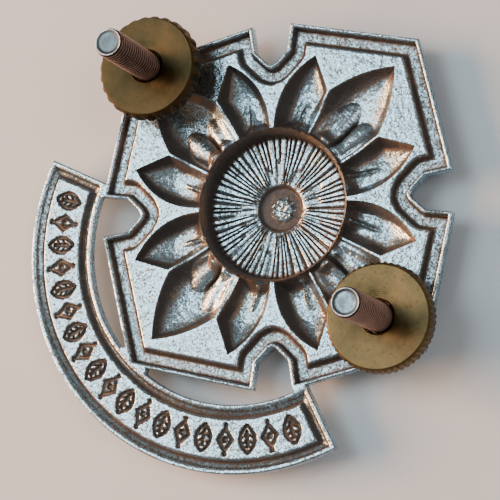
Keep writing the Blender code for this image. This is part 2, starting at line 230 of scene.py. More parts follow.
# Painted highlights along the lip and along the field's edge
LIP_PAINTED_HIGHLIGHT = 0.45
LIP_HIGHLIGHT_RUN = (LIP - 0.12, LIP + 0.06)
FIELD_PAINTED_HIGHLIGHT = 0.25
FIELD_HIGHLIGHT_INSET = 2.18
FIELD_HIGHLIGHT_WIDTH = 0.14
PIT_SHINE = 0.12
PIT_FROM = (0.1, 0.6)

# --- Mesh fineness (mm) ---
GRID = 0.12
LINE_STEP = 0.20
CLEAR = 0.06  # kept free of grid points on both sides of a feature line
RING_STEP = 0.20  # between the disc's rings of points
SPARSE_RADIUS = 4.0  # inside it a ring has half the points
MERGE_DISTANCE = 1e-6
EDGE_ROUND = 0.12  # width of the rounding along the badge's edges
EDGE_DROP = 0.10
EDGE_SLACK = 0.005  # points on an edge count as inside it
PETAL_LINE = 0.25  # inset of a second line of points inside each petal
LEAST_SHEET = 0.35
BADGE_SHARP_ANGLE = 46.0
FINE_ROUNDS = 6  # rounds of blurring that find small and wide hollows
WIDE_ROUNDS = 60
PLATE_INSETS = (LIP, CHANNEL_WALL, CHANNEL_FLOOR, FIELD_EDGE)
SCROLL_INSETS = (SCROLL_LIP, SCROLL_FLOOR, SCROLL_FLOOR_END, SCROLL_PANEL)


# === Plan geometry ===

def polar(radius, degrees):
    """Return the plan point at a radius and an angle from +X."""
    angle = math.radians(degrees)
    return np.array([radius * math.cos(angle), radius * math.sin(angle)])


def on_axis(degrees, along, across):
    """Return the point at a distance along a direction, and a distance to its left."""
    return polar(along, degrees) + polar(across, degrees + 90.0)


def along_edge(start, end, distance):
    """Return the point at a distance from start towards end."""
    run = end - start
    return start + run * (distance / np.linalg.norm(run))


def notch_points(degrees):
    """Return one notch, from its first mouth corner round to the other."""
    bottom = PEAK_DISTANCE - NOTCH_DEPTH
    half = [
        (PEAK_DISTANCE, NOTCH_HALF_WIDTH),
        (PEAK_DISTANCE - NOTCH_SHOULDER_DEPTH, NOTCH_SHOULDER_HALF),
        (bottom + NOTCH_POINT_RISE, NOTCH_POINT_HALF),
    ]
    first = [on_axis(degrees, along, -across) for along, across in half]
    second = [on_axis(degrees, along, across) for along, across in reversed(half)]
    return first + [on_axis(degrees, bottom, 0.0)] + second


def resample(loop, step):
    """Return points along a closed loop's straight runs, no further apart than a step."""
    points = [np.asarray(point, float) for point in loop]
    out = []
    for start, end in zip(points, points[1:] + points[:1]):
        count = max(1, int(math.ceil(np.linalg.norm(end - start) / step)))
        out += [start + (end - start) * (index / count) for index in range(count)]
    return np.array(out)


def offset_loop(points, distance):
    """Return an anticlockwise closed loop moved inwards by a distance, with mitred corners."""
    points = np.asarray(points, float)
    before = points - np.roll(points, 1, axis=0)
    before /= np.linalg.norm(before, axis=1)[:, None]
    after = np.roll(before, -1, axis=0)
    normal_before = np.stack([-before[:, 1], before[:, 0]], axis=1)
    normal_after = np.stack([-after[:, 1], after[:, 0]], axis=1)
    mitre = normal_before + normal_after
    mitre /= np.linalg.norm(mitre, axis=1)[:, None]
    reach = distance / np.sum(mitre * normal_after, axis=1)
    return points + mitre * reach[:, None]


def inside(points, loop):
    """Say which plan points are inside a closed loop."""
    hit = np.zeros(len(points), bool)
    for first, second in zip(loop, np.roll(loop, -1, axis=0)):
        if first[1] == second[1]:
            continue
        crosses = (first[1] > points[:, 1]) != (second[1] > points[:, 1])
        reach = (points[:, 1] - first[1]) / (second[1] - first[1])
        hit ^= crosses & (points[:, 0] < first[0] + reach * (second[0] - first[0]))
    return hit


def signed_distance(points, loop):
    """Return each point's distance to a closed loop, positive inside it."""
    loop = np.asarray(loop, float)
    nearest = np.full(len(points), np.inf)
    for first, second in zip(loop, np.roll(loop, -1, axis=0)):
        run = second - first
        share = np.clip((points - first) @ run / (run @ run), 0.0, 1.0)
        gap = points - first - share[:, None] * run
        nearest = np.minimum(nearest, np.einsum("ij,ij->i", gap, gap))
    nearest = np.sqrt(nearest)
    return np.where(inside(points, loop), nearest, -nearest)


def smooth(value, low, high):
    """Return 0 below low and 1 above high, with an S between them."""
    share = np.clip((value - low) / (high - low), 0.0, 1.0)
    return share * share * (3.0 - 2.0 * share)


def value_noise(points, cell, seed):
    """Return smooth random values from -1 to 1 with lumps the size of a cell."""
    rng = np.random.default_rng(seed)
    size = 512
    table = rng.uniform(-1.0, 1.0, (size, size))
    place = points / cell
    corner = np.floor(place).astype(int)
    share = place - corner
    share = share * share * (3.0 - 2.0 * share)
    x, y = corner[:, 0] % size, corner[:, 1] % size
    x_next, y_next = (x + 1) % size, (y + 1) % size
    low = table[x, y] * (1.0 - share[:, 0]) + table[x_next, y] * share[:, 0]
    high = table[x, y_next] * (1.0 - share[:, 0]) + table[x_next, y_next] * share[:, 0]
    return low * (1.0 - share[:, 1]) + high * share[:, 1]


# === The badge's plan ===

class Plan:
    """The plate's outline, the scroll's circle and ends, and the badge's boundary loops."""

    def __init__(self):
        corners = [polar(CORNER_RADIUS, 90.0 * quarter) for quarter in range(4)]
        notches = [notch_points(45.0 + 90.0 * quarter) for quarter in range(4)]
        right, top, left, bottom = corners
        upper = [right] + notches[0] + [top] + notches[1] + [left]
        self.plate = np.array(upper + notches[2] + [bottom] + notches[3])
        left_tail = along_edge(notches[2][0], left, SCROLL_TAIL)
        left_foot = along_edge(bottom, notches[2][-1], SCROLL_FOOT)
        right_foot = along_edge(bottom, notches[3][0], SCROLL_FOOT)
        right_tail = along_edge(notches[3][-1], right, SCROLL_TAIL)
        corner = notches[3][-1]
        foot = CORNER_RADIUS - SCROLL_OVERLAP
        gap_point = corner * (1.0 + SCROLL_END_GAP / np.linalg.norm(corner))
        rise = foot + gap_point[1]
        self.inner = (rise * rise + gap_point[0] ** 2) / (2.0 * rise)
        self.outer = self.inner + SCROLL_WIDTH
        self.centre = np.array([0.0, self.inner - foot])
        self.end_angle = self.angle_of(right_tail)
        web_angle = self.angle_of(gap_point)
        foot_angle = math.asin(SCROLL_FOOT / self.inner)
        rim = self.arc(self.outer, -self.end_angle, self.end_angle)
        self.rim = np.array(upper + [left_tail] + list(rim) + [right_tail])
        left_arc = self.arc(self.inner, -foot_angle, -web_angle)
        right_arc = self.arc(self.inner, web_angle, foot_angle)
        self.holes = [
            np.array(notches[2] + [left_foot] + list(left_arc)),
            np.array([right_foot] + notches[3] + list(right_arc)),
        ]

    def angle_of(self, point):
        """Return the angle of a point at the scroll's centre, from straight down."""
        arm = point - self.centre
        return math.atan2(arm[0], -arm[1])

    def arc(self, radius, first, last):
        """Return points along an arc between two angles from straight down."""
        count = int(math.ceil(abs(last - first) * radius / LINE_STEP))
        angles = np.linspace(first, last, count + 1)
        arms = np.stack([np.sin(angles), -np.cos(angles)], axis=1)
        return self.centre + radius * arms

    def scroll_loop(self, inset):
        """Return the scroll's outline moved inwards, anticlockwise."""
        outer = self.outer - inset
        inner = self.inner + inset
        outer_end = self.end_angle - inset / outer
        inner_end = self.end_angle - inset / inner
        low = self.arc(outer, -outer_end, outer_end)
        high = self.arc(inner, inner_end, -inner_end)
        return np.concatenate([low, high])

    def scroll_place(self, points):
        """Return each point's radius and angle at the scroll's centre."""
        arms = points - self.centre
        return np.hypot(arms[:, 0], arms[:, 1]), np.arctan2(arms[:, 0], -arms[:, 1])

    def scroll_distance(self, points):
        """Return the distance inside the scroll's outline, negative outside it."""
        radius, angle = self.scroll_place(points)
        ends = (self.end_angle - np.abs(angle)) * radius
        return np.minimum(np.minimum(self.outer - radius, radius - self.inner), ends)


def bowed(start, end, bow):
    """Return points from start up to, not including, end, bulging to the left by bow."""
    run = end - start
    left = np.array([-run[1], run[0]]) / np.linalg.norm(run)
    shares = [step / BOW_STEPS for step in range(BOW_STEPS)]
    return [start + run * share + left * (4.0 * bow * share * (1.0 - share)) for share in shares]


def petals():
    """Return (outline, direction in degrees, whether large) for each of the twelve petals."""
    cusp = polar(CUSP_RADIUS, CUSP_ANGLE)
    gap = polar(PETAL_RIDGE / 2, CUSP_ANGLE + 90.0)
    large_root = polar(PETAL_ROOT, LARGE_ROOT_HALF) - gap
    upper = bowed(polar(LARGE_TIP, 0.0), cusp - gap, -LARGE_BOW)
    upper += [cusp - gap, large_root]
    arc = [polar(PETAL_ROOT, angle) for angle in LARGE_ROOT_ARC]
    large = np.array(upper + arc + [point * (1.0, -1.0) for point in reversed(upper[1:])])
    small_root = polar(PETAL_ROOT, LARGE_ROOT_HALF) + gap
    small_tip = polar(SMALL_TIP, 45.0 - SMALL_SPREAD)
    notch_root = polar(PETAL_ROOT, 45.0 - SMALL_ROOT_GAP)
    small = [small_root, cusp + gap]
    small += bowed(small_tip, notch_root, -SMALL_BOW)
    small += [notch_root] + [polar(PETAL_ROOT, angle) for angle in SMALL_ROOT_ARC]
    small = np.array(small)
    found = []
    for quarter in range(4):
        turn = np.array([polar(1.0, 90.0 * quarter), polar(1.0, 90.0 * quarter + 90.0)])
        found.append((large @ turn, 90.0 * quarter, True))
        found.append((small @ turn, 90.0 * quarter + SMALL_DIRECTION, False))
        mirrored = small[::-1] * (1.0, -1.0)
        found.append((mirrored @ turn, 90.0 * quarter - SMALL_DIRECTION, False))
    return found


# === Relief ===

def band(value, amount, rise, fall):
    """Return an amount where a value is past its rise and short of its fall, and 0 beyond them."""
    return amount * smooth(value, *rise) * (1.0 - smooth(value, *fall))


def edge_rounding(depth_in):
    """Return how far the rounding along an edge lies below the back."""
    return EDGE_DROP * (1.0 - smooth(depth_in, 0.0, EDGE_ROUND))


def border_drop(depth_in):
    """Return how far the plate's border channel lies below the back, by distance from the edge."""
    outer_wall = smooth(depth_in, LIP - WALL_EASE, CHANNEL_WALL - WALL_EASE)
    inner_wall = 1.0 - smooth(depth_in, CHANNEL_FLOOR, FIELD_EDGE + FIELD_EASE)
    return CHANNEL_DEPTH * np.minimum(outer_wall, inner_wall) + edge_rounding(depth_in)


def scroll_drop(depth_in):
    """Return how far the scroll's channel lies below the back, by distance from its edge."""
    slope = np.clip((depth_in - SCROLL_LIP) / (SCROLL_FLOOR_END - SCROLL_LIP), 0, 1)
    outer_wall = SCROLL_STEP * smooth(depth_in, SCROLL_LIP - STEP_BEFORE, SCROLL_LIP + STEP_AFTER)
    outer_wall += (1.0 - SCROLL_STEP) * slope
    inner_wall = 1.0 - smooth(depth_in, SCROLL_FLOOR_END, SCROLL_PANEL + WALL_EASE)
    return SCROLL_DEPTH * np.minimum(outer_wall, inner_wall) + edge_rounding(depth_in)


def scroll_marks(plan, points):
    """Return the depth, from 0 to 1, of the leaves and lozenges cut along the scroll."""
    radius, angle = plan.scroll_place(points)
    middle = (plan.inner + plan.outer) / 2
    usable = plan.end_angle - (SCROLL_PANEL + MARK_END_GAP) / middle
    pitch = 2.0 * usable / MARK_COUNT
    index = np.clip(np.floor((angle + usable) / pitch), 0, MARK_COUNT - 1)
    across = np.abs((angle + usable - (index + 0.5) * pitch) * middle)
    up = radius - middle
    height = np.abs(up)
    leaf_edge = MARK_HALF_WIDTH * (1.0 - (up / MARK_HALF_HEIGHT) ** 2)
    leaf_line = np.abs(across - leaf_edge)
    vein = across + VEIN_TAPER * np.maximum(0.0, height - VEIN_HALF)
    turn = (up - across * SIDE_VEIN_LEAN) / SIDE_VEIN_PITCH + 0.5
    side_veins = np.abs(turn % 1.0 - 0.5) * SIDE_VEIN_PITCH + SIDE_VEIN_THIN
    side_veins = np.where(across < leaf_edge - LEAF_MARGIN, side_veins, OFF_MARK)
    leaf = np.minimum(np.minimum(leaf_line, vein), side_veins)
    leaf = np.where(height < MARK_HALF_HEIGHT + LEAF_MARGIN, leaf, OFF_MARK)
    size = across / LOZENGE_HALF_WIDTH + height / LOZENGE_HALF_HEIGHT
    lozenge_line = np.abs(size - 1.0) * LOZENGE_SLOPE
    dot = np.hypot(across, up) - DOT_RADIUS
    end_dots = np.hypot(across, height - MARK_HALF_HEIGHT) - END_DOT_RADIUS
    lozenge = np.minimum(np.minimum(lozenge_line, dot), end_dots)
    line = np.where(index % 2 == 0, leaf, lozenge)
    return 1.0 - smooth(line, LINE_HALF_WIDTH * LINE_FLOOR, LINE_HALF_WIDTH * LINE_WALL)


def rib_height(points, rng):
    """Return the ribs of the disc, from 0 in the gaps to 1 on the crests."""
    radius = np.hypot(points[:, 0], points[:, 1])
    angle = np.arctan2(points[:, 1], points[:, 0]) / (2.0 * math.pi) % 1.0
    wobble = 0.22 * np.sin(2.0 * math.pi * (angle * 11.0 + 0.3))
    wobble += 0.13 * np.sin(2.0 * math.pi * angle * 29.0)
    phase = angle * RIB_COUNT + wobble
    number = np.floor(phase).astype(int) % RIB_COUNT
    starts = rng.uniform(*RIB_START, RIB_COUNT)
    late = rng.random(RIB_COUNT) < LATE_RIB_SHARE
    starts[late] = rng.uniform(*LATE_RIB_START, int(late.sum()))
    heights = rng.uniform(*RIB_HEIGHTS, RIB_COUNT)
    crest = 1.0 - smooth(np.abs(2.0 * (phase % 1.0) - 1.0), *RIB_FLANK)
    begin = smooth(radius, starts[number], starts[number] + RIB_RAMP)
    fade = 1.0 - smooth(radius, DISC_RADIUS + 0.05, DISC_RADIUS + 0.35)
    return crest * begin * fade * heights[number]


def large_folds(along, across):
    """Return the lift of a large petal's folds: two lobes with a slit between them, and ripples."""
    middle, length = (np.where(across > 0.0, *pair) for pair in zip(LEFT_LOBE, RIGHT_LOBE))
    reach = ((along - LOBE_START) / length) ** 2 + ((across - middle) / LOBE_HALF_WIDTH) ** 2
    folds = LOBE_HEIGHT * np.clip(1.0 - reach, 0.0, 1.0) ** LOBE_POWER
    slit = np.exp(-((across + SLIT_LEAN * along) / CREASE_HALF_WIDTH) ** 2)
    folds -= SLIT_DEPTH * slit * (1.0 - smooth(along, *SLIT_FADE))
    ripples = RIPPLE_HEIGHT * np.sin(2.0 * math.pi * along / RIPPLE_PITCH)
    return folds + ripples * band(along, 1.0, RIPPLE_RISE, RIPPLE_FALL)


def small_folds(along, across):
    """Return the lift of a small petal's folds: a low bulge and one rib."""
    reach = ((along - BULGE_MIDDLE[0]) / BULGE_HALF[0]) ** 2
    reach += ((across - BULGE_MIDDLE[1]) / BULGE_HALF[1]) ** 2
    bulge = BULGE_HEIGHT * np.clip(1.0 - reach, 0.0, 1.0)
    rib = np.exp(-((across - PETAL_RIB_PLACE + PETAL_RIB_LEAN * along) / CREASE_HALF_WIDTH) ** 2)
    return bulge + PETAL_RIB_HEIGHT * rib * (1.0 - smooth(along, *PETAL_RIB_FADE))


def petal_relief(points, outline, degrees, large):
    """Return (distance inside, back depth, lift of the folds, painted shade on the walls) for one petal."""
    inset = signed_distance(points, outline)
    outward = polar(1.0, degrees)
    leftward = polar(1.0, degrees + 90.0)
    along = (points - PETAL_LEAN) @ outward - PETAL_ROOT
    across = (points - PETAL_LEAN) @ leftward
    folds = large_folds(along, across) if large else small_folds(along, across)
    bowl = np.clip(inset / (LARGE_BOWL if large else SMALL_BOWL), 0.0, 1.0)
    tip = LARGE_TIP if large else SMALL_TIP
    taper = 1.0 - TIP_TAPER * smooth(along, TAPER_START, tip - PETAL_ROOT)
    wall_run = (LARGE_WALL if large else SMALL_WALL) * taper
    wall = taper * (1.0 - (1.0 - np.clip(inset / wall_run, 0.0, 1.0)) ** WALL_POWER)
    depth = PETAL_DEPTH * (WALL_SHARE * wall + (1.0 - WALL_SHARE) * (1.0 - (1.0 - bowl) ** 2))
    # Painted shade on the walls, lighter on the walls that face the side light
    facing = -SIDE_FACING * np.sign(across)[:, None] * leftward
    facing = facing - TIP_FACING * smooth(along, *TIP_FACING_RUN)[:, None] * outward
    brightening = smooth(facing @ LIT_SIDE, *LIT_SIDE_FROM)
    painted_shade_run = wall_run * (PAINTED_SHADE_RUN - LIT_SIDE_RUN_CUT * brightening)
    on_wall = (1.0 - smooth(inset / painted_shade_run, *PAINTED_SHADE_FADE)) * smooth(inset, *PAINTED_SHADE_EDGE)
    painted_shade = on_wall * (PAINTED_SHADE_AMOUNT - LIT_SIDE_SHADE_CUT * brightening)
    return inset, depth, folds * smooth(inset, *FOLD_EDGE), painted_shade


def flat_relief(plan, points, plate_in, scroll_in):
    """Return the back, the front and the marks' depth, with the border and the scroll only."""
    on_plate = plate_in > -EDGE_SLACK
    on_scroll = scroll_in > -EDGE_SLACK
    drop = np.where(on_plate, border_drop(plate_in), 0.0)
    drop_scroll = np.where(on_scroll, scroll_drop(scroll_in), 0.0)
    lowest = np.maximum(drop, drop_scroll)
    back = BACK - np.where(on_scroll & on_plate, np.minimum(drop, drop_scroll), lowest)
    moulding = band(plate_in, 1.0, (LIP, CHANNEL_WALL + 0.1), (CHANNEL_FLOOR, FIELD_EDGE))
    front = FRONT - MOULDING_RISE * moulding * on_plate
    front -= SCROLL_RISE * smooth(scroll_in, SCROLL_LIP, SCROLL_FLOOR) * on_scroll
    marks = scroll_marks(plan, points) * (scroll_in > SCROLL_PANEL)
    back -= MARK_DEPTH * marks
    front += PANEL_SINK * (1.0 - marks) * (scroll_in > SCROLL_PANEL + PANEL_EDGE)
    return back, front, marks


def sink_petals(points, radius, back, front):
    """Sink the petals into the back and the front, and return their painted light: highlights on the folds
    less shade on the walls.
    """
    turn = np.degrees(np.arctan2(points[:, 1], points[:, 0])) % 90.0
    off_ridge = np.minimum(np.abs(turn - CUSP_ANGLE), np.abs(turn - 90.0 + CUSP_ANGLE))
    sink = RIDGE_SINK * (1.0 - smooth(off_ridge, *RIDGE_FADE))
    sink *= 1.0 - smooth(radius, CUSP_RADIUS - RIDGE_RUN, CUSP_RADIUS)
    petal_painted_light = np.zeros(len(points))
    for outline, degrees, large in petals():
        near = np.abs(points - outline.mean(axis=0)).max(axis=1) < PETAL_REACH
        inset, depth, lift, painted_shade = petal_relief(points[near], outline, degrees, large)
        here = inset > 0.0
        chosen = np.flatnonzero(near)[here]
        share = 1.0 - sink[chosen] / PETAL_DEPTH
        back[chosen] = BACK - sink[chosen] - (depth[here] - lift[here]) * share
        # Painted highlight on the folds, less the painted shade on the walls
        petal_painted_light[chosen] = FOLD_PAINTED_HIGHLIGHT * smooth(lift[here], *FOLD_HIGHLIGHT_LIFT) - painted_shade[here]
        swell = 1.0 - (1.0 - np.clip(inset[here] / PETAL_FRONT_RUN, 0.0, 1.0)) ** 2
        front[chosen] = FRONT - PETAL_FRONT_DROP * swell + FRONT_FOLD_SHARE * lift[here]
    between = (radius < CUSP_RADIUS) & (back > BACK - 0.01)
    back[between] -= sink[between]
    return petal_painted_light


def disc_relief(points, radius):
    """Return the disc's back and front, the share of the button, and the distance inside its star."""
    wall = smooth(radius, DISC_RADIUS, DISC_RADIUS + DISC_WALL)
    ring = smooth(radius, DISC_RADIUS + DISC_WALL, PETAL_ROOT)
    dish = DISC_DISH * smooth(radius, DISC_RADIUS - DISH_RUN, DISC_RADIUS) * (1.0 - wall)
    back = BACK - DISC_DEPTH + dish + (DISC_DEPTH - RING_DROP * (1.0 - ring)) * wall
    back += RIB_HEIGHT * rib_height(points, np.random.default_rng(7))
    button = 1.0 - smooth(radius, BUTTON_RADIUS - BUTTON_WALL, BUTTON_RADIUS)
    arms = points - STAR_CENTRE
    angle = np.arctan2(arms[:, 1], arms[:, 0])
    star = 0.14 * np.cos(9.0 * angle) + 0.07 * np.cos(5.0 * angle + 1.0) + STAR_RADIUS
    star -= np.hypot(arms[:, 0], arms[:, 1]) + 0.22 * value_noise(points, 0.42, 22)
    height = STAR_HEIGHT + STAR_ROUGH * value_noise(points, 0.24, 21)
    back += button * (height * smooth(star, 0.0, STAR_WALL) - BUTTON_DEPTH)
    valley = BACK - RING_DROP - RING_SHEET
    front = valley * wall + FRONT_WAVE * (1.0 - np.cos(radius * 1.1)) * (1.0 - wall)
    front += (FRONT - valley) * ring
    return np.minimum(back, BACK), front, button, star


def relief(plan, points):
    """Return the back's and the front's height (mm), and the dirt, painted shade and painted highlights, at
    each plan point.
    """
    plate_in = signed_distance(points, plan.plate)
    scroll_in = plan.scroll_distance(points)
    edge_in = np.maximum(plate_in, scroll_in)
    radius = np.hypot(points[:, 0], points[:, 1])
    back, front, marks = flat_relief(plan, points, plate_in, scroll_in)
    petal_painted_light = sink_petals(points, radius, back, front)
    disc_back, disc_front, button, star = disc_relief(points, radius)
    back = np.where(radius < PETAL_ROOT, disc_back, back)
    front = np.where(radius < PETAL_ROOT, disc_front, front)

    grain = value_noise(points, 0.34, 11) * 0.65 + value_noise(points, 0.20, 12) * 0.35
    wear = value_noise(points, 2.6, 13)
    calm = smooth(edge_in, *CALM_EDGE)
    back += (GRAIN_HEIGHT * grain + WEAR_HEIGHT * wear - WEAR_DROP) * calm
    front = np.maximum(front + FRONT_GRAIN * grain * calm, 0.0)

    # Painted shade on the walls of the border channel, the disc, the button and the scroll, with grime on
    # the channel's floor
    grime_and_painted_light = band(plate_in, *INNER_WALL_PAINTED_SHADE)
    grime_and_painted_light += band(plate_in, *CHANNEL_GRIME)
    grime_and_painted_light += band(radius, *DISC_WALL_PAINTED_SHADE)
    grime_and_painted_light += (BUTTON_PAINTED_SHADE + BUTTON_GRAIN * grain) * button * (1.0 - smooth(star, *STAR_SHADE))
    grime_and_painted_light += band(scroll_in, *SCROLL_WALL_PAINTED_SHADE)
    # Painted highlights along the lip and the field's edge
    grime_and_painted_light -= LIP_PAINTED_HIGHLIGHT * (1.0 - smooth(edge_in, *LIP_HIGHLIGHT_RUN))
    grime_and_painted_light -= FIELD_PAINTED_HIGHLIGHT * np.exp(-((plate_in - FIELD_HIGHLIGHT_INSET) / FIELD_HIGHLIGHT_WIDTH) ** 2)
    # Grime in the cut marks, lighter pits, and the petals' painted light
    grime_and_painted_light += MARK_GRIME * marks - PIT_SHINE * smooth(-grain, *PIT_FROM) - petal_painted_light
    return np.minimum(back, BACK), front, grime_and_painted_light


# === Building the badge's mesh ===

def feature_lines(plan):
    """Return the closed plan lines that the mesh's edges follow."""
    lines = [plan.rim] + list(plan.holes)
    for inset in (EDGE_ROUND,) + PLATE_INSETS:
        lines.append(offset_loop(plan.plate, inset))
    for inset in (EDGE_ROUND,) + SCROLL_INSETS:
        lines.append(plan.scroll_loop(inset))
    for outline, _, _ in petals():
        lines.append(outline)
        lines.append(offset_loop(outline, PETAL_LINE))
    return [resample(line, LINE_STEP) for line in lines]


def plan_mesh(plan):
    """Return the plan's points and triangles."""
    points = []
    edges = []
    count = 0
    for line in feature_lines(plan):
        ids = np.arange(count, count + len(line))
        edges += list(zip(ids.tolist(), np.roll(ids, -1).tolist()))
        points.append(line)
        count += len(line)
    low = plan.rim.min(axis=0)
    high = plan.rim.max(axis=0)
    columns = np.arange(low[0], high[0], GRID)
    rows = np.arange(low[1], high[1], GRID * math.sqrt(3.0) / 2)
    across, up = np.meshgrid(columns, rows)
    across[1::2] += GRID / 2
    grid = np.stack([across.ravel(), up.ravel()], axis=1)
    radius = np.hypot(grid[:, 0], grid[:, 1])
    grid = grid[(radius > DISC_RADIUS + 0.05) | (radius < BUTTON_RADIUS - 0.05)]
    plate_in = signed_distance(grid, plan.plate)
    scroll_in = plan.scroll_distance(grid)
    keep = np.maximum(plate_in, scroll_in) > EDGE_ROUND + CLEAR
    for inset in PLATE_INSETS:
        keep &= np.abs(plate_in - inset) > CLEAR
    for inset in SCROLL_INSETS:
        keep &= np.abs(scroll_in - inset) > CLEAR
    for outline, _, _ in petals():
        near = np.flatnonzero(np.abs(grid - outline.mean(axis=0)).max(axis=1) < PETAL_REACH)
        inset = signed_distance(grid[near], outline)
        keep[near[np.abs(inset) < CLEAR]] = False
        keep[near[np.abs(inset - PETAL_LINE) < CLEAR]] = False
    points.append(grid[keep])
    angles = np.arange(RIB_COUNT * RIB_SAMPLES) * 360.0 / (RIB_COUNT * RIB_SAMPLES)
    for ring in np.arange(BUTTON_RADIUS, DISC_RADIUS + 0.01, RING_STEP):
        step = 2 if ring < SPARSE_RADIUS else 1
        points.append(np.array([polar(ring, angle) for angle in angles[::step]]))
    points = np.concatenate(points)
    vectors = [Vector(point) for point in points.tolist()]
    placed, _, faces, _, _, _ = delaunay_2d_cdt(vectors, edges, [], 0, MERGE_DISTANCE)
    placed = np.array([(point.x, point.y) for point in placed])
    faces = np.array(faces)
    middles = placed[faces].mean(axis=1)
    keep = inside(middles, plan.rim)
    for hole in plan.holes:
        keep &= ~inside(middles, hole)
    faces = faces[keep]
    used = np.unique(faces)
    renumber = np.full(len(placed), -1)
    renumber[used] = np.arange(len(used))
    return placed[used], renumber[faces]


def blurred(values, edges, rounds):
    """Return values averaged with their neighbours along the mesh's edges, many times."""
    first, second = edges[:, 0], edges[:, 1]
    size = len(values)
    links = np.bincount(first, minlength=size) + np.bincount(second, minlength=size)
    for _ in range(rounds):
        total = np.bincount(first, values[second], size) + np.bincount(second, values[first], size)
        values = 0.5 * values + 0.5 * total / links
    return values


def patina_and_wall_shade_of(heights, faces, points):
    """Return how dark each point is: patina, from 0 on what stands proud to 1 in what lies sheltered, plus
    painted shade on steep walls.
    """
    edges = np.concatenate([faces[:, [0, 1]], faces[:, [1, 2]], faces[:, [2, 0]]])
    edges = np.unique(np.sort(edges, axis=1), axis=0)
    fine = blurred(heights, edges, FINE_ROUNDS) - heights
    wide = blurred(heights, edges, WIDE_ROUNDS) - heights
    run = np.linalg.norm(points[edges[:, 0]] - points[edges[:, 1]], axis=1)
    slope = np.abs(heights[edges[:, 0]] - heights[edges[:, 1]]) / np.maximum(run, 1e-4)
    size = len(heights)
    links = np.bincount(edges[:, 0], minlength=size) + np.bincount(edges[:, 1], minlength=size)
    steep = np.bincount(edges[:, 0], slope, size) + np.bincount(edges[:, 1], slope, size)
    steep = blurred(steep / links, edges, 2)
    # The blurred terms are patina in the hollows; the steep term is painted shade on the walls
    return np.clip(0.10 + 2.2 * fine + 0.30 * wide + 0.50 * smooth(steep, 0.35, 1.1), 0.0, 1.0)


def mesh_object(name, vertices, faces, materials, sharp_angle, face_materials=None):
    """Return a linked object with a smooth mesh, from places in millimetres."""
    mesh = bpy.data.meshes.new(name)
    mesh.from_pydata((np.asarray(vertices) * MM).tolist(), [], [list(face) for face in faces])
    for material in materials:
        mesh.materials.append(material)
    if face_materials is not None:
        mesh.polygons.foreach_set("material_index", np.asarray(face_materials, np.int32))
    mesh.shade_smooth()
    mesh.set_sharp_from_angle(angle=math.radians(sharp_angle))
    mesh.validate()
    obj = bpy.data.objects.new(name, mesh)
    bpy.context.scene.collection.objects.link(obj)
    return obj


def make_badge(material):
    """Make the struck badge from its plan and the two reliefs, and close it round its edges."""
    plan = Plan()
    points, faces = plan_mesh(plan)
    back, front, grime_and_painted_light = relief(plan, points)
    front = np.minimum(front, back - LEAST_SHEET)
    count = len(points)
    vertices = np.concatenate([
        np.column_stack([points, back]),
        np.column_stack([points, front]),
    ])
    directed = np.concatenate([faces[:, [0, 1]], faces[:, [1, 2]], faces[:, [2, 0]]])
    known = set(map(tuple, directed.tolist()))
    rims = [(a, b) for a, b in known if (b, a) not in known]
    rims.sort()
    walls = [(b, a, a + count, b + count) for a, b in rims]
    all_faces = faces.tolist() + (faces[:, ::-1] + count).tolist() + walls
    badge = mesh_object("struck_badge_relief", vertices, all_faces, [material], BADGE_SHARP_ANGLE)
    # Patina, grime, painted shade and painted highlights, stored for the material
    dark_back = np.clip(patina_and_wall_shade_of(back, faces, points) + grime_and_painted_light, 0.0, 1.0)
    dark_front = patina_and_wall_shade_of(-front, faces, points)
    tarnish_and_painted_light = badge.data.attributes.new("tarnish_and_painted_light", "FLOAT", "POINT")
    tarnish_and_painted_light.data.foreach_set("value", np.concatenate([dark_back, dark_front]).astype(np.float32))
    return badge


# === Turned pieces ===

def revolve(name, radii, heights, materials, sharp_angle, row_materials=None, solid=False):
    """Make a closed turned piece from a table of radii, one row per height and one column per angle.

    A solid piece is closed across its first and last rows; any other joins its last row to its first.
    """
    rows, columns = radii.shape
    angles = np.arange(columns) * 2.0 * math.pi / columns
    vertices = []
    for row in range(rows):
        level = np.broadcast_to(heights[row], columns)
        ring = [radii[row] * np.cos(angles), radii[row] * np.sin(angles), level]
        vertices.append(np.column_stack(ring))
    vertices = np.concatenate(vertices)
    faces = []
    owners = []
    for row in range(rows - 1 if solid else rows):
        following = (row + 1) % rows
        for column in range(columns):
            side = (column + 1) % columns
            faces.append((row * columns + column, row * columns + side,
                          following * columns + side, following * columns + column))
            owners.append(0 if row_materials is None else row_materials[row])
    if solid:
        ends = [[0.0, 0.0, np.mean(heights[0])], [0.0, 0.0, np.mean(heights[-1])]]
        first_end, last_end = len(vertices), len(vertices) + 1
        vertices = np.concatenate([vertices, ends])
        top = (rows - 1) * columns
        for column in range(columns):
            side = (column + 1) % columns
            faces.append((first_end, side, column))
            faces.append((last_end, top + column, top + side))
            owners += [0, 0] if row_materials is None else [row_materials[0], row_materials[-1]]
    return mesh_object(name, vertices, faces, materials, sharp_angle, owners)


THREAD_PITCH = 0.50
THREAD_DEPTH = 0.18
THREAD_COLUMNS = 64
THREAD_ROWS_PER_PITCH = 10
THREAD_CREST = 0.12  # the crest's flat, and the flank's run, in half pitches
THREAD_FLANK = 0.76
TIP_CHAMFER = 0.27
TIP_CHAMFER_RUN = 0.30
TIP_FACE = (  # share of the radius, and height above the thread's end
    (0.88, 0.0), (0.80, -0.015), (0.70, -0.075), (0.55, -0.085), (0.30, -0.07), (0.10, -0.06),
)


def stand(piece, low, high):
    """Stand a turned piece in the middle of its node's box."""
    piece.location = ((low.x + high.x) / 2, (low.y + high.y) / 2, low.z)


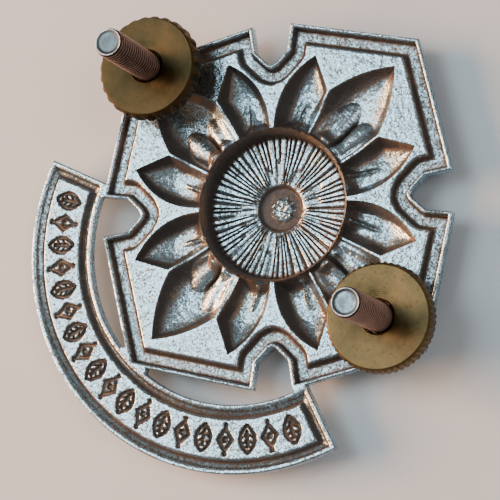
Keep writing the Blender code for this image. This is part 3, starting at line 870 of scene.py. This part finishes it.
def make_post(side, materials):
    """Make one screw post: a cut thread that runs out into a chamfered, slightly dished tip."""
    low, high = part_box(f"{side}_screw_post")
    radius = (high.x - low.x) / 2 / MM
    bottom, top = low.z / MM, high.z / MM
    length = top - bottom
    rows = int(length / THREAD_PITCH * THREAD_ROWS_PER_PITCH)
    heights = np.linspace(0.0, length, rows)
    angles = np.arange(THREAD_COLUMNS) / THREAD_COLUMNS
    phase = (heights[:, None] / THREAD_PITCH - angles[None, :]) % 1.0
    tooth = np.abs(2.0 * phase - 1.0)
    tooth = np.clip((tooth - THREAD_CREST) / THREAD_FLANK, 0.0, 1.0)
    radii = radius - THREAD_DEPTH * tooth
    lead = np.clip((length - heights) / TIP_CHAMFER_RUN, 0.0, 1.0)[:, None]
    radii = np.minimum(radii, radius - TIP_CHAMFER * (1.0 - lead))
    radii[-1] = radius - TIP_CHAMFER
    cap_radii = [np.full(THREAD_COLUMNS, radius * share) for share, _ in TIP_FACE]
    cap_heights = [length + sink for _, sink in TIP_FACE]
    foot = np.full((1, THREAD_COLUMNS), radius * 0.8)
    radii = np.concatenate([foot, radii, np.array(cap_radii)])
    heights = np.concatenate([[0.0], heights, cap_heights])
    owners = [0] * (len(heights) - len(TIP_FACE) - 1) + [1] * (len(TIP_FACE) + 1)
    post = revolve(f"{side}_threaded_post", radii, heights, materials, 75.0, owners, solid=True)
    stand(post, low, high)
    return post


KNURLS = {"left": 27, "right": 52}
KNURL_DEPTH = {"left": 0.36, "right": 0.22}
KNURL_SAMPLES = {"left": 14, "right": 8}
KNURL_POWER = {"left": 2.6, "right": 1.4}
KNURL_SEED = {"left": 3, "right": 4}
BORE_CLEARANCE = 0.09
COUNTERSINK = 0.20
NUT_CHAMFER = 0.42


def make_nut(side, material):
    """Make one round nut with a straight knurl, a countersink at each end and a plain bore."""
    low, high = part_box(f"{side}_nut")
    radius = (high.x - low.x) / 2 / MM
    thickness = (high.z - low.z) / MM
    post_low, post_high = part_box(f"{side}_screw_post")
    bore = (post_high.x - post_low.x) / 2 / MM + BORE_CLEARANCE
    sink = bore + COUNTERSINK
    samples = KNURL_SAMPLES[side]
    columns = KNURLS[side] * samples
    turn = (np.arange(columns) % samples) / samples
    valley = np.abs(np.cos(math.pi * turn)) ** KNURL_POWER[side]
    rng = np.random.default_rng(KNURL_SEED[side])
    uneven = np.repeat(rng.uniform(0.75, 1.0, KNURLS[side]), samples)
    teeth = radius - KNURL_DEPTH[side] * valley * uneven
    flat = radius - NUT_CHAMFER
    rim = [(0.0, flat, 0.0), (0.0, flat + 0.05, 0.03), (0.45, radius - 0.24, 0.20),
           (1.0, radius - 0.08, 0.42), (1.0, radius, 0.66)]
    upper_rim = [(share, full, thickness - level) for share, full, level in reversed(rim)]
    hole = [(0.0, sink + 0.05, thickness), (0.0, sink - 0.02, thickness - 0.02),
            (0.0, bore, thickness - 0.24), (0.0, bore, 0.24), (0.0, sink - 0.02, 0.02)]
    profile = [(0.0, sink, 0.0)] + rim + upper_rim + hole  # (share of the knurl, radius, height)
    radii = []
    for share, full, _ in profile:
        cut = teeth + (1.0 - share) * 0.05 if share > 0.0 else full
        radii.append(np.broadcast_to(np.minimum(full, cut), columns))
    radii = np.array(radii)
    heights = np.array([level for _, _, level in profile])
    nut = revolve(f"{side}_knurled_nut", radii, heights, [material], 28.0)
    stand(nut, low, high)
    return nut


def make_solder(side, material):
    """Make the solder that has run up round one post's foot, a little uneven."""
    low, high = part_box(f"{side}_solder")
    post_low, post_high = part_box(f"{side}_screw_post")
    foot = (high.x - low.x) / 2 / MM
    height = (high.z - low.z) / MM
    bore = (post_high.x - post_low.x) / 2 / MM + 0.03
    columns = 64
    angles = np.arange(columns) * 2.0 * math.pi / columns
    start = 0.4 if side == "left" else 2.1
    lumps = 0.5 + 0.25 * np.sin(3.0 * angles + start) + 0.25 * np.sin(7.0 * angles + 2.0 * start)
    shares = [(1.0, 0.0), (0.80, 0.10), (0.50, 0.28), (0.28, 0.55), (0.14, 0.85), (0.05, 1.0)]
    unlevel = 0.82 + 0.18 * lumps
    radii = [np.full(columns, bore)]
    heights = [np.zeros(columns)]
    for share, rise in shares:
        radii.append(bore + (foot - bore) * share * (0.86 + 0.14 * lumps))
        heights.append(height * rise * unlevel)
    radii.append(np.full(columns, bore))
    heights.append(height * unlevel)
    solder = revolve(f"{side}_solder_fillet", np.array(radii), heights, [material], 80.0)
    stand(solder, low, high)
    return solder


# === Materials ===

def toned(stops, tone):
    """Return a ramp's stops with every colour made lighter or darker by a share."""
    return [(position, tuple(channel * tone for channel in colour)) for position, colour in stops]


class Nodes:
    """A short way to write a material's node tree."""

    def __init__(self, name):
        self.material = bpy.data.materials.new(name)
        self.material.use_nodes = True
        self.tree = self.material.node_tree
        self.shader = self.tree.nodes["Principled BSDF"]
        self.place = self.add("ShaderNodeTexCoord").outputs["Object"]

    def add(self, kind, **settings):
        """Add a node and set its attributes."""
        node = self.tree.nodes.new(kind)
        for key, value in settings.items():
            setattr(node, key, value)
        return node

    def put(self, value, socket):
        """Link a socket, or set a constant, as an input."""
        if isinstance(value, bpy.types.NodeSocket):
            self.tree.links.new(value, socket)
        else:
            socket.default_value = value

    def math(self, operation, first, second=0.0, clamp=False):
        """Return the result of a Math node."""
        node = self.add("ShaderNodeMath", operation=operation, use_clamp=clamp)
        self.put(first, node.inputs[0])
        self.put(second, node.inputs[1])
        return node.outputs[0]

    def from_axis(self):
        """Return the distance (m) from the piece's own upright axis."""
        split = self.add("ShaderNodeSeparateXYZ")
        self.put(self.place, split.inputs[0])
        flat = self.add("ShaderNodeCombineXYZ")
        self.put(split.outputs[0], flat.inputs[0])
        self.put(split.outputs[1], flat.inputs[1])
        length = self.add("ShaderNodeVectorMath", operation="LENGTH")
        self.put(flat.outputs[0], length.inputs[0])
        return length.outputs["Value"]

    def noise(self, scale, detail=3.0, roughness=0.55):
        """Return a noise value; the scale is in lumps per metre."""
        node = self.add("ShaderNodeTexNoise")
        self.put(self.place, node.inputs["Vector"])
        node.inputs["Scale"].default_value = scale
        node.inputs["Detail"].default_value = detail
        node.inputs["Roughness"].default_value = roughness
        return node.outputs["Fac"]

    def ramp(self, value, stops):
        """Return a colour from a ramp of (position, colour) stops."""
        node = self.add("ShaderNodeValToRGB")
        self.put(value, node.inputs["Fac"])
        elements = node.color_ramp.elements
        while len(elements) < len(stops):
            elements.new(0.5)
        for element, (position, colour) in zip(elements, stops):
            element.position = position
            element.color = (*colour, 1.0)
        return node.outputs["Color"]

    def span(self, value, low, high, to_low=0.0, to_high=1.0):
        """Return a value moved from one range to another, clamped."""
        node = self.add("ShaderNodeMapRange")
        self.put(value, node.inputs["Value"])
        for key, number in (("From Min", low), ("From Max", high), ("To Min", to_low), ("To Max", to_high)):
            node.inputs[key].default_value = number
        return node.outputs["Result"]

    def mix(self, share, first, second):
        """Return a mix of two colours."""
        node = self.add("ShaderNodeMix", data_type="RGBA")
        self.put(share, node.inputs["Factor"])
        for value, socket in ((first, node.inputs[6]), (second, node.inputs[7])):
            self.put(value if isinstance(value, bpy.types.NodeSocket) else (*value, 1.0), socket)
        return node.outputs[2]

    def bump(self, height, distance, strength=1.0, normal=None):
        """Return a normal from a height."""
        node = self.add("ShaderNodeBump")
        self.put(height, node.inputs["Height"])
        node.inputs["Distance"].default_value = distance
        node.inputs["Strength"].default_value = strength
        if normal is not None:
            self.put(normal, node.inputs["Normal"])
        return node.outputs["Normal"]

    def finish(self, colour, roughness, metallic, normal):
        """Connect the shader and return the material."""
        self.put(colour, self.shader.inputs["Base Color"])
        self.put(roughness, self.shader.inputs["Roughness"])
        self.put(metallic, self.shader.inputs["Metallic"])
        self.put(normal, self.shader.inputs["Normal"])
        return self.material


def silver_material():
    """Worn nickel silver: bright where it stands proud, brown-black with patina and painted shade where it
    lies sheltered, with a painted blue reflection on the light end and painted orange glints.
    """
    n = Nodes("worn_nickel_silver")
    tarnish_and_painted_light = n.add("ShaderNodeAttribute", attribute_name="tarnish_and_painted_light").outputs["Fac"]
    blotch = n.noise(900.0, 4.0)
    grain = n.noise(3600.0, 2.0)
    pores = n.add("ShaderNodeTexVoronoi")
    n.put(n.place, pores.inputs["Vector"])
    pores.inputs["Scale"].default_value = 4200.0
    pit = n.span(pores.outputs["Distance"], 0.05, 0.55, 1.0, 0.0)
    speckle = n.span(n.noise(3700.0, 1.5), 0.53, 0.64)
    contour = n.math("ABSOLUTE", n.math("SUBTRACT", n.noise(2700.0, 1.0), 0.5))
    worm = n.span(contour, 0.0, 0.05, 1.0, 0.0)
    marks = n.math("ADD", n.math("MULTIPLY", speckle, 0.18), n.math("MULTIPLY", worm, 0.50))
    uneven = n.math("ADD", n.math("MULTIPLY", blotch, 0.30), marks)
    amount = n.math("ADD", tarnish_and_painted_light, n.math("SUBTRACT", uneven, 0.17), clamp=True)
    # The light end's blue is a painted reflection of the bluish key light on the flats
    colour = n.ramp(amount, [
        (0.00, (0.54, 0.72, 0.82)),
        (0.18, (0.43, 0.58, 0.66)),
        (0.32, (0.25, 0.26, 0.26)),
        (0.46, (0.180, 0.156, 0.142)),
        (0.75, (0.145, 0.119, 0.106)),
        (1.00, (0.078, 0.066, 0.060)),
    ])
    # Orange patches on the mid-dark walls: painted warm glints
    warm = n.span(n.noise(260.0, 2.0), 0.52, 0.68)
    middle = n.math("MULTIPLY", n.span(tarnish_and_painted_light, 0.25, 0.50), n.span(tarnish_and_painted_light, 0.95, 0.60))
    colour = n.mix(n.math("MULTIPLY", warm, n.math("MULTIPLY", middle, 0.30)), colour, (0.60, 0.33, 0.17))
    roughness = n.span(amount, 0.10, 0.70, 0.27, 0.52)
    metallic = n.span(amount, 0.30, 0.80, 1.0, 0.35)
    normal = n.bump(pit, 0.00002, 0.45)
    normal = n.bump(grain, 0.00003, 1.0, normal)
    return n.finish(colour, roughness, metallic, normal)


def brass_material(name, tone):
    """Dull olive brass with faint turning marks, small specks and darker knurls."""
    n = Nodes(name)
    radius = n.from_axis()
    wander = n.math("MULTIPLY", n.noise(300.0, 2.0), 0.00022)
    rings = n.math("SINE", n.math("MULTIPLY", n.math("ADD", radius, wander), 30000.0))
    blotch = n.noise(420.0, 5.0, 0.6)
    specks = n.span(n.noise(2600.0, 2.0), 0.60, 0.72)
    colour = n.ramp(blotch, toned([
        (0.25, (0.100, 0.073, 0.032)),
        (0.50, (0.200, 0.152, 0.072)),
        (0.75, (0.290, 0.225, 0.110)),
    ], tone))
    edge = n.span(radius, 0.00502, 0.00508)
    colour = n.mix(n.math("MULTIPLY", edge, 0.62), colour, (0.085, 0.046, 0.015))
    colour = n.mix(n.math("MULTIPLY", specks, 0.5), colour, (0.06, 0.04, 0.02))
    roughness = n.span(blotch, 0.3, 0.7, 0.38, 0.52)
    normal = n.bump(rings, 0.000006, 0.35)
    normal = n.bump(n.noise(3800.0, 3.0), 0.00002, 0.45, normal)
    return n.finish(colour, roughness, 1.0, normal)


def thread_material():
    """Coppery screw metal, lighter on the thread's crests as a painted highlight and darker in its roots as
    painted shade.
    """
    n = Nodes("coppery_thread")
    # Painted highlight on the crests and painted shade in the roots
    crest = n.span(n.from_axis(), 0.00130, 0.00150)
    brightening = n.noise(700.0, 4.0)
    amount = n.math("ADD", n.math("MULTIPLY", crest, 0.75), n.math("MULTIPLY", brightening, 0.35), clamp=True)
    colour = n.ramp(amount, [
        (0.15, (0.030, 0.016, 0.011)),
        (0.50, (0.078, 0.040, 0.030)),
        (0.92, (0.340, 0.225, 0.185)),
    ])
    roughness = n.span(amount, 0.2, 0.9, 0.50, 0.22)
    normal = n.bump(n.noise(4200.0, 3.0), 0.00002, 0.4)
    return n.finish(colour, roughness, 1.0, normal)


def tip_material(name, tone):
    """The post's bright filed end, with a slightly dished middle whose blue-grey is a painted reflection,
    lighter or darker by the tone.
    """
    n = Nodes(name)
    wander = n.math("MULTIPLY", n.noise(900.0, 3.0), 0.00016)
    # The middle's blue-grey, scaled by the tone, is a painted reflection
    colour = n.ramp(n.math("MULTIPLY", n.math("ADD", n.from_axis(), wander), 600.0), [
        *toned([(0.00, (0.24, 0.34, 0.39)), (0.60, (0.34, 0.46, 0.52))], tone),
        (0.68, (0.07, 0.06, 0.06)),
        (0.76, (0.12, 0.10, 0.09)),
        (0.82, (0.72, 0.71, 0.70)),
    ])
    stain = n.span(n.noise(1200.0, 4.0, 0.65), 0.42, 0.60, 0.0, 0.80)
    colour = n.mix(stain, colour, (0.10, 0.11, 0.115))
    normal = n.bump(n.noise(3000.0, 3.0), 0.00002, 0.5)
    return n.finish(colour, 0.36, 1.0, normal)


def solder_material():
    """Grey soft solder with a crazed, matt skin."""
    n = Nodes("grey_solder")
    blotch = n.noise(1500.0, 4.0)
    colour = n.ramp(blotch, [
        (0.30, (0.16, 0.155, 0.15)),
        (0.65, (0.46, 0.46, 0.45)),
    ])
    roughness = n.span(blotch, 0.3, 0.7, 0.40, 0.58)
    normal = n.bump(n.noise(2500.0, 4.0), 0.00004, 0.5)
    return n.finish(colour, roughness, 1.0, normal)


def floor_material():
    """Plain pale studio floor with the faintest mottling."""
    n = Nodes("pale_floor")
    colour = n.ramp(n.noise(60.0, 3.0), [(0.3, (0.78, 0.85, 0.91)), (0.7, (0.81, 0.88, 0.94))])
    return n.finish(colour, 0.75, 0.0, n.bump(n.noise(900.0, 2.0), 0.00002, 0.2))


# === Studio ===

# Camera: place (m), then directions; sensor and lens in mm
CAMERA_PLACE = (0.07199, 0.01842, 0.17606)
CAMERA_FORWARD = (-0.37460495, -0.12363253, -0.91890485)
CAMERA_UP = (-0.65071184, 0.74105415, 0.16556826)
SENSOR = 36.0
LENS = 135.36
FLOOR_HALF = 1.5
FLOOR_GAP = 0.00002  # the floor lies this far below the badge's face
WORLD_COLOUR = (1.0, 0.97, 0.94, 1.0)
WORLD_STRENGTH = 0.22
LIGHTS = (  # name, place (m), side (m), power (W), colour
    ("key", (-0.22, -0.08, 0.48), 0.28, 1.06, (0.74, 0.93, 1.0)),
    ("side", (-0.40, -0.34, 0.20), 0.36, 8.5, (1.0, 0.50, 0.25)),
    ("fill", (0.30, 0.35, 0.60), 0.30, 0.8, (1.0, 0.97, 0.94)),
)


def look(forward, up):
    """Return the rotation of something that faces along its own -Z, with +Y up."""
    forward = Vector(forward).normalized()
    right = forward.cross(Vector(up)).normalized()
    upward = right.cross(forward)
    return Matrix((right, upward, -forward)).transposed().to_euler()


def make_camera():
    """Make the camera, looking down past the right-hand post."""
    data = bpy.data.cameras.new("camera")
    data.sensor_width = SENSOR
    data.lens = LENS
    data.clip_start = 0.01
    camera = bpy.data.objects.new("camera", data)
    camera.location = CAMERA_PLACE
    camera.rotation_euler = look(CAMERA_FORWARD, CAMERA_UP)
    bpy.context.scene.collection.objects.link(camera)
    bpy.context.scene.camera = camera


def make_softbox(name, place, size, power, colour):
    """Make a square area light that faces the badge."""
    data = bpy.data.lights.new(name, "AREA")
    data.shape = "SQUARE"
    data.size = size
    data.energy = power
    data.color = colour
    light = bpy.data.objects.new(name, data)
    light.location = place
    light.rotation_euler = look(-Vector(place), (0.0, 0.0, 1.0))
    bpy.context.scene.collection.objects.link(light)


def make_world():
    """Make an even, faintly warm studio surround."""
    world = bpy.data.worlds.new("studio")
    world.use_nodes = True
    background = world.node_tree.nodes["Background"]
    background.inputs["Color"].default_value = WORLD_COLOUR
    background.inputs["Strength"].default_value = WORLD_STRENGTH
    bpy.context.scene.world = world


def make_floor(material):
    """Make the plain floor that the badge lies on."""
    mesh = bpy.data.meshes.new("floor")
    signs = ((-1, -1), (1, -1), (1, 1), (-1, 1))
    mesh.from_pydata([(x * FLOOR_HALF, y * FLOOR_HALF, 0.0) for x, y in signs], [], [(0, 1, 2, 3)])
    mesh.materials.append(material)
    floor = bpy.data.objects.new("floor", mesh)
    floor.location.z = -FLOOR_GAP
    bpy.context.scene.collection.objects.link(floor)


def main():
    make_camera()
    make_world()
    for light in LIGHTS:
        make_softbox(*light)
    make_floor(floor_material())
    silver = silver_material()
    brass = {
        "left": brass_material("dark_olive_brass", 0.36),
        "right": brass_material("dull_olive_brass", 0.84),
    }
    thread = thread_material()
    # The two post ends differ only in how light their painted reflection is
    tip = {
        "left": tip_material("post_end_darker_painted_reflection", 0.42),
        "right": tip_material("post_end_lighter_painted_reflection", 1.0),
    }
    solder = solder_material()
    badge = make_badge(silver)
    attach(badge, "badge")
    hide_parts("struck_badge")
    for side in ("left", "right"):
        post = make_post(side, [thread, tip[side]])
        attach(post, "badge")
        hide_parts(f"{side}_screw_post")
        fillet = make_solder(side, solder)
        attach(fillet, "badge")
        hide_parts(f"{side}_solder")
        nut = make_nut(side, brass[side])
        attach(nut, f"{side}_nut_body")
        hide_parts(f"{side}_nut")


main()
